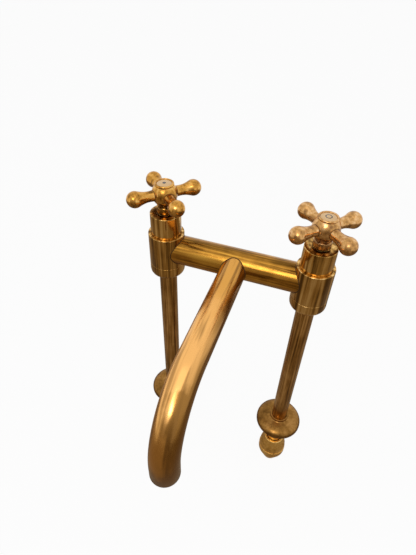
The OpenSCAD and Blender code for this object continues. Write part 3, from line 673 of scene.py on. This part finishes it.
def index_disc_outline():
    """The porcelain disc, slightly domed."""
    return [(0, DISC_FOOT_Z), (DISC_R, DISC_FOOT_Z), (DISC_R, DISC_EDGE_Z, 0.3), (5.0, 73.52), (2.5, 73.73),
            (0, DISC_TOP_Z)]


# A plain enamel mark lies on each index: a dot on the left one, and a ring on the right one
MARKS = {"left": [(0, MARK_FOOT_Z), (1.7, MARK_FOOT_Z), (1.7, 73.81, 0.05), (0, 73.86)],
         "right": [(2.2, MARK_FOOT_Z), (3.1, MARK_FOOT_Z), (3.1, 73.74, 0.05), (2.2, 73.8, 0.05)]}


def shroud_outline():
    """The tube round the headwork, open below, with a flat top and a round hole."""
    return [(SHROUD_BORE_R, SHROUD_FOOT_Z), (SHROUD_R, SHROUD_FOOT_Z, 0.2), (SHROUD_R, SHROUD_TOP_Z, 0.7),
            (SHROUD_HOLE_R, SHROUD_TOP_Z, 0.3), (SHROUD_HOLE_R, SHROUD_ROOF_Z, 0.2),
            (SHROUD_BORE_R, SHROUD_ROOF_Z, 0.3)]


def valve_body_outline():
    """The valve body: a plain barrel with a bright bevelled rim, bored for the headwork and the cap."""
    return [(SEAT_HOLE_R, BODY_SPIGOT_Z), (BODY_SPIGOT_R, BODY_SPIGOT_Z, 0.4), (BODY_SPIGOT_R, BODY_FOOT_Z),
            (BODY_R, BODY_FOOT_Z, 0.3), (BODY_R, BODY_TOP_Z, 0.8), (BODY_SOCKET_R, BODY_TOP_Z, 0.15),
            (BODY_SOCKET_R, BODY_SOCKET_Z), (BODY_THREAD_R, BODY_SOCKET_Z), (BODY_THREAD_R, CHAMBER_TOP_Z),
            (CHAMBER_R, CHAMBER_TOP_Z), (CHAMBER_R, CHAMBER_FLOOR_Z), (SEAT_HOLE_R, CHAMBER_FLOOR_Z)]


def bottom_cap_outline():
    """The cap screwed under the body, with a round lower edge and a bore for the leg."""
    return [(CAP_HOLE_R, CAP_FOOT_Z, 0.4), (BODY_R, CAP_FOOT_Z, CAP_ROUNDING), (BODY_R, CAP_TOP_Z, 0.35),
            (CAP_SOCKET_R, CAP_TOP_Z), (CAP_SOCKET_R, CAP_FLOOR_Z), (CAP_HOLE_R, CAP_FLOOR_Z)]


def leg_outline():
    """The leg tube, with the collar that the cap holds up."""
    return [(LEG_BORE_R, LEG_FOOT_Z), (LEG_R, LEG_FOOT_Z), (LEG_R, LEG_COLLAR_Z),
            (LEG_COLLAR_R, LEG_COLLAR_Z), (LEG_COLLAR_R, LEG_TOP_Z), (LEG_BORE_R, LEG_TOP_Z)]


def rose_outline():
    """The rose: a domed cover with a plain collar, hollow below."""
    inner_r = ROSE_R - ROSE_RIM
    dome = oval(ROSE_R - ROSE_DOME_WIDTH, ROSE_RIM, ROSE_DOME_WIDTH, ROSE_DOME_RISE, range(0, 90, 6))
    hollow = oval(inner_r - ROSE_HOLLOW_WIDTH, ROSE_HOLLOW_Z, ROSE_HOLLOW_WIDTH, ROSE_HOLLOW_RISE,
                  range(90, -1, -9))
    collar = [(12.6, 11.2), (11.9, 11.8), (ROSE_COLLAR_R, 12.6), (ROSE_COLLAR_R, ROSE_TOP_Z, 0.6),
              (ROSE_HOLE_R, ROSE_TOP_Z, 0.2), (ROSE_HOLE_R, 9.0)]
    return [(ROSE_R, 0.0, 0.3)] + dome + collar + hollow + [(inner_r, 0.0)]


def shank_outline():
    """The foot's shank: a shoulder on the worktop, a sleeve for the leg, and the core of the thread below."""
    return [(SHANK_BORE_R, SHANK_FOOT_Z), (9.2, SHANK_FOOT_Z), (SHANK_CORE_R, -75.9), (SHANK_CORE_R, -11.6),
            (SHANK_NECK_R, SHANK_NECK_Z, 0.2), (SHANK_NECK_R, 0.0), (SHOULDER_R, 0.0),
            (SHOULDER_R, SHOULDER_Z, 0.4), (SLEEVE_R, SHOULDER_Z), (SLEEVE_R, SLEEVE_Z, 0.5),
            (SHANK_CORE_R, SLEEVE_Z), (SHANK_CORE_R, LEG_FOOT_Z), (SHANK_BORE_R, LEG_FOOT_Z)]


def bell_nut_outline():
    """The bell nut over the shank: it flares down to the tail cone like the skirt of a bell."""
    flare = [(BELL_R - (BELL_R - BELL_TOP_R)*math.sin(math.pi/2*t)*t,
              BELL_SKIRT_Z + (BELL_NECK_Z - BELL_SKIRT_Z)*t) for t in between(0, 1, 18)[1:-1]]
    return ([(NUT_BORE_R, BELL_FOOT_Z), (BELL_R, BELL_FOOT_Z, 0.4), (BELL_R, BELL_SKIRT_Z)] + flare
            + [(BELL_TOP_R, BELL_NECK_Z), (12.4, BELL_TOP_Z), (NUT_BORE_R, BELL_TOP_Z)])


def tail_cone_outline():
    """The tail: a straight band and a taper, bored for the shank and for the supply hose."""
    return [(HOSE_HOLE_R, TAIL_FOOT_Z), (TAIL_TIP_R, TAIL_FOOT_Z, 1.0), (TAIL_R, TAIL_BAND_Z, 1.6),
            (TAIL_R, TAIL_TOP_Z, 0.4), (NUT_BORE_R, TAIL_TOP_Z), (NUT_BORE_R, TAIL_SOCKET_Z),
            (HOSE_HOLE_R, TAIL_SOCKET_Z)]


def washer_outline(radius, bottom, top, inner=(), outer=()):
    """A flat washer on the shank, with its inner and outer edges eased where a rounding is given."""
    return [(WASHER_BORE_R, bottom, *inner), (radius, bottom, *outer), (radius, top, *outer),
            (WASHER_BORE_R, top, *inner)]


# The handles: hub, arms, index

ARM_DIRECTIONS = [45 + 90*quarter for quarter in range(4)]


def turned_arms():
    """Four arms set diagonally to the bridge, in one mesh, round the hub's middle."""
    arms = bmesh.new()
    for direction in ARM_DIRECTIONS:
        arm = turned(arm_outline(), ARM_STEPS)
        outwards = (Matrix.Rotation(math.radians(direction), 4, "Z")
                    @ Matrix.Rotation(math.radians(90), 4, "Y"))
        bmesh.ops.transform(arm, matrix=outwards, verts=arm.verts[:])
        join(arms, arm)
    return arms


for side, x in PILLARS.items():
    handle = side + "_handle"
    finish = left_handle_brass if side == "left" else right_handle_brass
    on_pillar(side, "hub_casting", turned(hub_outline()), BRIDGE_Z, finish, handle, "handle_brass",
              "handle_hub")
    on_pillar(side, "cross_arms", turned_arms(), BRIDGE_Z + HUB_Z, finish, handle, "handle_brass",
              "handle_arms")
    on_pillar(side, "index_bead", turned(index_ring_outline()), BRIDGE_Z, finish, handle, "handle_brass",
              "index_ring")
    on_pillar(side, "porcelain_index", turned(index_disc_outline()), BRIDGE_Z, porcelain, handle,
              "porcelain", "index_disc")
    on_pillar(side, "index_mark", turned(MARKS[side]), BRIDGE_Z, enamel, handle, "porcelain")
    for number, direction in enumerate(ARM_DIRECTIONS, 1):
        a = math.radians(direction)
        across = Vector((-math.sin(a), math.cos(a), 0))
        outwards = Vector((math.cos(a), math.sin(a), 0))
        middle = Vector((x, 0, BRIDGE_Z + HUB_Z)) + outwards*ARM_LINE_AT
        points = [middle + across*ARM_LINE_R*math.cos(turn) + Vector((0, 0, ARM_LINE_R*math.sin(turn)))
                  for turn in between(0, math.tau, ARM_LINE_STEPS)[:-1]]
        bead(f"{side}_arm_joint_{number}", points, ARM_LINE, handle)


# The valve bodies, caps and legs

def joint_with_body(x):
    """Points of the line where the bridge meets a valve body."""
    towards = -1 if x > 0 else 1
    points = []
    for a in between(0, math.tau, LINE_STEPS)[:-1]:
        y = (BRIDGE_R + LINE_PROUD)*math.cos(a)
        z = (BRIDGE_R + LINE_PROUD)*math.sin(a)
        points.append((x + towards*math.sqrt((BODY_R + BRAZE_GAP)**2 - y*y), y, BRIDGE_Z + z))
    return points


for side, x in PILLARS.items():
    on_pillar(side, "shroud_tube", turned(shroud_outline()), BRIDGE_Z, shroud_brass, "tap",
              "polished_brass", "shroud")
    on_pillar(side, "body_barrel", turned(valve_body_outline()), BRIDGE_Z, body_brass, "tap",
              "polished_brass", "valve_body")
    on_pillar(side, "lower_cap", turned(bottom_cap_outline()), BRIDGE_Z, body_brass, "tap",
              "polished_brass", "bottom_cap")
    on_pillar(side, "leg_tube", turned(leg_outline()), 0, leg_brass, "tap", "polished_brass", "leg")
    bead(side + "_bridge_joint", joint_with_body(x), TUBE_LINE, "tap")


# The feet: rose, threaded shank, washers, nut, bell nut and tail

def threaded_shank():
    """The shank with a real thread of 14 turns to the inch below its plain neck."""
    bm = turned(shank_outline())
    thread = bmesh.new()
    profile = [(THREAD_ROOT_R, -THREAD_ROOT_HALF), (THREAD_CREST_R, -THREAD_CREST_HALF),
               (THREAD_CREST_R, THREAD_CREST_HALF), (THREAD_ROOT_R, THREAD_ROOT_HALF)]
    start = thread.faces.new([thread.verts.new((r, 0, THREAD_FOOT_Z + z)) for r, z in profile])
    length = THREAD_TOP_Z - THREAD_FOOT_Z
    turns = length/THREAD_PITCH
    steps = round(turns*THREAD_STEPS)
    bmesh.ops.spin(thread, geom=[start], cent=(0, 0, 0), axis=(0, 0, 1), dvec=(0, 0, length/steps),
                   angle=turns*math.tau, steps=steps, use_duplicate=True)
    bmesh.ops.remove_doubles(thread, verts=thread.verts[:], dist=MERGED)
    bmesh.ops.recalc_face_normals(thread, faces=thread.faces[:])
    join(bm, thread)
    return bm


def hexagon_nut(across, bore, bottom, top):
    """A nut turned with bevelled ends and then cut to six flats, which leaves their curved edges."""
    corner = across/2/math.cos(math.radians(30))
    face = across/2 - NUT_FACE_INSET
    bm = turned([(bore, bottom), (face, bottom), (corner, bottom + NUT_BEVEL), (corner, top - NUT_BEVEL),
                 (face, top), (bore, top)])
    for flat in range(6):
        a = math.radians(60*flat)
        away = Vector((math.cos(a), math.sin(a), 0))
        cut = bmesh.ops.bisect_plane(bm, geom=bm.verts[:] + bm.edges[:] + bm.faces[:],
                                     plane_co=away*across/2, plane_no=away, clear_outer=True)
        bmesh.ops.contextual_create(bm, geom=new_edges(cut["geom_cut"]))
    bmesh.ops.recalc_face_normals(bm, faces=bm.faces[:])
    return bm


for side in PILLARS:
    on_pillar(side, "rose_cover", turned(rose_outline()), 0, rose_brass, "tap", "foot_brass", "rose")
    on_pillar(side, "threaded_shank", threaded_shank(), 0, foot_brass, "tap", "foot_brass", "foot_shank")
    rubber_washer = washer_outline(RUBBER_WASHER_R, RUBBER_WASHER_Z, THREAD_TOP_Z, outer=(0.5,))
    on_pillar(side, "rubber_washer", turned(rubber_washer), 0, rubber, "tap", "rubber", "deck_washer")
    brass_washer = washer_outline(BRASS_WASHER_R, BRASS_WASHER_Z, RUBBER_WASHER_Z, (0.2,), (0.35,))
    on_pillar(side, "brass_washer", turned(brass_washer), 0, foot_brass, "tap", "foot_brass",
              "clamp_washer")
    nut = hexagon_nut(NUT_ACROSS_FLATS, NUT_BORE_R, NUT_FOOT_Z, BRASS_WASHER_Z)
    on_pillar(side, "clamp_nut", nut, 0, foot_brass, "tap", "foot_brass", "back_nut")
    on_pillar(side, "bell_collar", turned(bell_nut_outline()), 0, foot_brass, "tap", "foot_brass",
              "bell_nut")
    on_pillar(side, "tail_taper", turned(tail_cone_outline()), 0, foot_brass, "tap", "foot_brass",
              "tail_cone")


# The bridge: a tube fitted to the round of both bodies

def end_loop(bm, towards):
    """The open edges at one end of the bridge's tubes."""
    return [e for e in bm.edges if e.is_boundary and all(v.co.x*towards > 0 for v in e.verts)]


def bridge_mesh():
    """Outer and inner walls drawn out from a circle both ways, with their ends cut to the bodies."""
    bm = bmesh.new()
    for radius in (BRIDGE_R, BRIDGE_BORE_R):
        ring = circle(bm, radius, Matrix.Rotation(math.radians(90), 4, "Y"))
        for towards in (-1, 1):
            for v in new_verts(bmesh.ops.extrude_edge_only(bm, edges=ring)):
                v.co.x = towards*(HALF_SPACING - math.sqrt((BODY_R + BRAZE_GAP)**2 - v.co.y**2))
    bmesh.ops.remove_doubles(bm, verts=bm.verts[:], dist=MERGED)
    for towards in (-1, 1):
        bmesh.ops.bridge_loops(bm, edges=end_loop(bm, towards))
    bmesh.ops.recalc_face_normals(bm, faces=bm.faces[:])
    bmesh.ops.translate(bm, vec=(0, 0, BRIDGE_Z), verts=bm.verts[:])
    return bm


piece("bridge_pipe", bridge_mesh(), bridge_brass, "tap", ["bridge_tube"])


# The spout: a straight, a bend and a short upright end, fitted to the round of the bridge

ALONG = Vector((0, -math.cos(SPOUT_SLOPE), -math.sin(SPOUT_SLOPE)))
UPRIGHT = Vector((0, -math.sin(SPOUT_SLOPE), math.cos(SPOUT_SLOPE)))
SPOUT_START = Vector((0, 0, BRIDGE_Z))
BEND_START = SPOUT_START + ALONG*SPOUT_STRAIGHT
BEND_CENTRE = BEND_START - UPRIGHT*SPOUT_BEND
BEND_TURN = math.radians(90) - SPOUT_SLOPE

# The straight is drawn out from a ring just clear of the bridge, in a few lengths
FIRST_RING_AT = 30
STRAIGHT_STEPS = 4


def on_saddle(point):
    """Slides a point of the spout along it until it lies on the bridge."""
    up = (point - SPOUT_START).dot(UPRIGHT)
    onto = ALONG*math.sqrt((BRIDGE_R + BRAZE_GAP)**2 - up*up)
    return SPOUT_START + Vector((point.x, 0, 0)) + UPRIGHT*up + onto


def spout_wall(bm, radius):
    """One wall of the spout, open at both ends."""
    facing = Matrix((Vector((1, 0, 0)), UPRIGHT, ALONG)).transposed().to_4x4()
    ring = circle(bm, radius, Matrix.Translation(SPOUT_START + ALONG*FIRST_RING_AT) @ facing)
    for v in new_verts(bmesh.ops.extrude_edge_only(bm, edges=ring)):
        v.co = on_saddle(v.co)
    lead = ring
    for step in range(STRAIGHT_STEPS):
        grown = bmesh.ops.extrude_edge_only(bm, edges=lead)
        bmesh.ops.translate(bm, vec=ALONG*(SPOUT_STRAIGHT - FIRST_RING_AT)/STRAIGHT_STEPS,
                            verts=new_verts(grown))
        lead = new_edges(grown["geom"])
    bent = bmesh.ops.spin(bm, geom=lead, cent=BEND_CENTRE, axis=(1, 0, 0), angle=BEND_TURN,
                          steps=BEND_STEPS)
    grown = bmesh.ops.extrude_edge_only(bm, edges=new_edges(bent["geom_last"]))
    bmesh.ops.translate(bm, vec=(0, 0, -SPOUT_DROP), verts=new_verts(grown))


def spout_mesh():
    """Both walls, closed round the saddle and round the mouth, whose edges are eased."""
    bm = bmesh.new()
    spout_wall(bm, SPOUT_R)
    spout_wall(bm, SPOUT_BORE_R)
    bmesh.ops.remove_doubles(bm, verts=bm.verts[:], dist=MERGED)
    between_ends = BRIDGE_Z - 20
    saddle = [e for e in bm.edges if e.is_boundary and all(v.co.z > between_ends for v in e.verts)]
    mouth = [e for e in bm.edges if e.is_boundary and all(v.co.z < between_ends for v in e.verts)]
    bmesh.ops.bridge_loops(bm, edges=saddle)
    bmesh.ops.bridge_loops(bm, edges=mouth)
    bmesh.ops.recalc_face_normals(bm, faces=bm.faces[:])
    bmesh.ops.bevel(bm, geom=mouth, offset=MOUTH_ROUNDING, offset_type="OFFSET", segments=3, profile=0.5,
                    affect="EDGES", material=-1)
    bmesh.ops.recalc_face_normals(bm, faces=bm.faces[:])
    return bm


def write_straightened(mesh):
    """Gives each point of the spout its place on the tube as it was before bending: across, up and along."""
    places = mesh.attributes.new("straightened", "FLOAT_VECTOR", "POINT")
    for v, entry in zip(mesh.vertices, places.data):
        point = v.co*MM_IN_M
        along = (point - SPOUT_START).dot(ALONG)
        up = (point - SPOUT_START).dot(UPRIGHT)
        if along > SPOUT_STRAIGHT:
            from_centre = point - BEND_CENTRE
            turn = math.atan2(from_centre.dot(ALONG), from_centre.dot(UPRIGHT))
            if turn < BEND_TURN:
                up = Vector((0, from_centre.y, from_centre.z)).length - SPOUT_BEND
                along = SPOUT_STRAIGHT + turn*SPOUT_BEND
            else:
                up = -from_centre.y - SPOUT_BEND
                along = SPOUT_STRAIGHT + BEND_TURN*SPOUT_BEND - from_centre.z
        entry.vector = (point.x/MM_IN_M, up/MM_IN_M, along/MM_IN_M)


spout = piece("spout_pipe", spout_mesh(), spout_brass, "tap", ["spout_tube"])
write_straightened(spout.data)

ring_r = SPOUT_R + LINE_PROUD
saddle_line = [on_saddle(SPOUT_START + Vector((ring_r*math.cos(a), 0, 0)) + UPRIGHT*ring_r*math.sin(a))
               for a in between(0, math.tau, LINE_STEPS)[:-1]]
bead("spout_joint", saddle_line, TUBE_LINE, "tap")


# CAD pieces that keep their own solids

KEPT = {
    "handle_screw": stainless,
    "spindle": plain_brass,
    "circlip": stainless,
    "spindle_orings": rubber,
    "moving_disc": alumina,
    "headwork_body": plain_brass,
    "headwork_gasket": fibre,
    "fixed_disc": alumina,
    "seat_seal": rubber,
    "leg_washer": fibre,
    "tail_washer": fibre,
}
for side in PILLARS:
    for kept, material in KEPT.items():
        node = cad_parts[side + "_" + kept]
        node.data.materials.clear()
        node.data.materials.append(material)


# Studio: a plain floor just below the tails, a white surround, and soft light

FLOOR_Z = -95.6
FLOOR_HALF_WIDTH = 10.0
# Where the floor is seen, this share of it is plain white, and the rest shows how it is lit, shadow and all
FLOOR_WHITE = 0.93
# The surround is white where it is seen, but it lights the studio at this plainer level
SURROUND_LIGHT = 0.55


def seen_straight(tree):
    """1 for rays that show the background as it is: the camera's, reflections and those through glass."""
    rays = add(tree, "LightPath").outputs
    seen = rays["Is Camera Ray"]
    for kind in ("Is Glossy Ray", "Is Transmission Ray"):
        seen = add(tree, "Math", operation="MAXIMUM", links=[(0, seen), (1, rays[kind])]).outputs[0]
    return seen


def paper_floor():
    """Matt white paper. The camera and the metal see it a little nearer white than it is lit."""
    material, tree = new_material("white_paper")
    place_on_it = add(tree, "TexCoord").outputs["Object"]
    fibres = add(tree, "TexNoise", values=[("Scale", per_mm(1.5)), ("Detail", 2.0)],
                 links=[("Vector", place_on_it)]).outputs["Fac"]
    base = add(tree, "Mix", data_type="RGBA", values=[(6, colour("#F2F2F2")), (7, colour("#F6F6F6"))],
               links=[(0, fibres)]).outputs[2]
    paper = add(tree, "BsdfDiffuse", links=[("Color", base)]).outputs[0]
    white = add(tree, "Emission", values=[("Color", (1, 1, 1, 1)), ("Strength", 1.0)]).outputs[0]
    share = add(tree, "Math", operation="MULTIPLY", values=[(1, FLOOR_WHITE)],
                links=[(0, seen_straight(tree))]).outputs[0]
    finish_material(tree, add(tree, "MixShader", links=[(0, share), (1, paper), (2, white)]))
    return material


def staged(name, bm, material):
    """Makes the mesh a part of the studio, which isn't part of the tap."""
    mesh = bpy.data.meshes.new(name)
    bm.to_mesh(mesh)
    bm.free()
    mesh.materials.append(material)
    obj = bpy.data.objects.new(name, mesh)
    scene.collection.objects.link(obj)
    return obj


floor_bm = bmesh.new()
bmesh.ops.create_grid(floor_bm, x_segments=2, y_segments=2, size=FLOOR_HALF_WIDTH)
floor = staged("floor", floor_bm, paper_floor())
floor.location = (0, 0, FLOOR_Z/MM_IN_M)

# The dim room in front of the tap and below it, which the camera doesn't see but the polished metal does

ROOM_HALF_WIDTH = 1.2
ROOM_BACK = 0.5
ROOM_FRONT = -1.65
ROOM_FLOOR = (FLOOR_Z + 4)/MM_IN_M
ROOM_HEIGHT = 3.0
ROOM_FADE = (-0.1, 1.8)


def room_finish():
    """A dim warm room: darkest low down, and fading into the white surround overhead."""
    material, tree = new_material("dim_room")
    place_on_it = add(tree, "TexCoord").outputs["Object"]
    height = add(tree, "SeparateXYZ", links=[("Vector", place_on_it)]).outputs["Z"]
    fade = add(tree, "MapRange", interpolation_type="SMOOTHSTEP",
               values=[("From Min", ROOM_FADE[0]), ("From Max", ROOM_FADE[1])],
               links=[("Value", height)]).outputs[0]
    shown = add(tree, "Mix", data_type="RGBA", values=[(6, colour("#93846F")), (7, colour("#FFFFFF"))],
                links=[(0, fade)]).outputs[2]
    finish_material(tree, add(tree, "Emission", values=[("Strength", 1.0)], links=[("Color", shown)]))
    return material


room_bm = bmesh.new()
back_edge = [room_bm.verts.new((x, ROOM_BACK, ROOM_FLOOR)) for x in (-ROOM_HALF_WIDTH, ROOM_HALF_WIDTH)]
edge = room_bm.edges.new(back_edge)
for step in ((0, ROOM_FRONT - ROOM_BACK, 0), (0, 0, ROOM_HEIGHT)):
    grown = bmesh.ops.extrude_edge_only(room_bm, edges=[edge])
    bmesh.ops.translate(room_bm, vec=step, verts=new_verts(grown))
    edge = new_edges(grown["geom"])[0]
bmesh.ops.recalc_face_normals(room_bm, faces=room_bm.faces[:])
room = staged("dark_room", room_bm, room_finish())
room.visible_camera = False
room.visible_diffuse = False
room.visible_shadow = False
room.visible_transmission = False

world = bpy.data.worlds.new("soft_white_surround")
world.use_nodes = True
world_tree = world.node_tree
world_tree.nodes.clear()
strength = add(world_tree, "MapRange", values=[("To Min", SURROUND_LIGHT), ("To Max", 1.0)],
               links=[("Value", seen_straight(world_tree))]).outputs[0]
surround = add(world_tree, "Background", values=[("Color", (1, 1, 1, 1))], links=[("Strength", strength)])
add(world_tree, "OutputWorld", links=[("Surface", surround.outputs[0])])
scene.world = world


def softbox(name, direction, distance, size, power):
    """A soft square light that looks at the bridge from a direction. Sizes are in metres."""
    middle = Vector((0, -0.04, BRIDGE_Z/MM_IN_M))
    lamp = bpy.data.lights.new(name, "AREA")
    lamp.size = size
    lamp.energy = power
    light = bpy.data.objects.new(name, lamp)
    light.location = middle + Vector(direction).normalized()*distance
    light.rotation_euler = (middle - light.location).to_track_quat("-Z", "Y").to_euler()
    scene.collection.objects.link(light)


# The small one is in front and above: it puts the bright spots on the balls, the bridge and the spout's bend
softbox("key_softbox", direction=(0.0, -0.73, 0.66), distance=1.3, size=0.5, power=4.0)
# The large one overhead softens what the first leaves dark
softbox("overhead_softbox", direction=(0.0, -0.39, 0.92), distance=1.4, size=1.4, power=2.0)
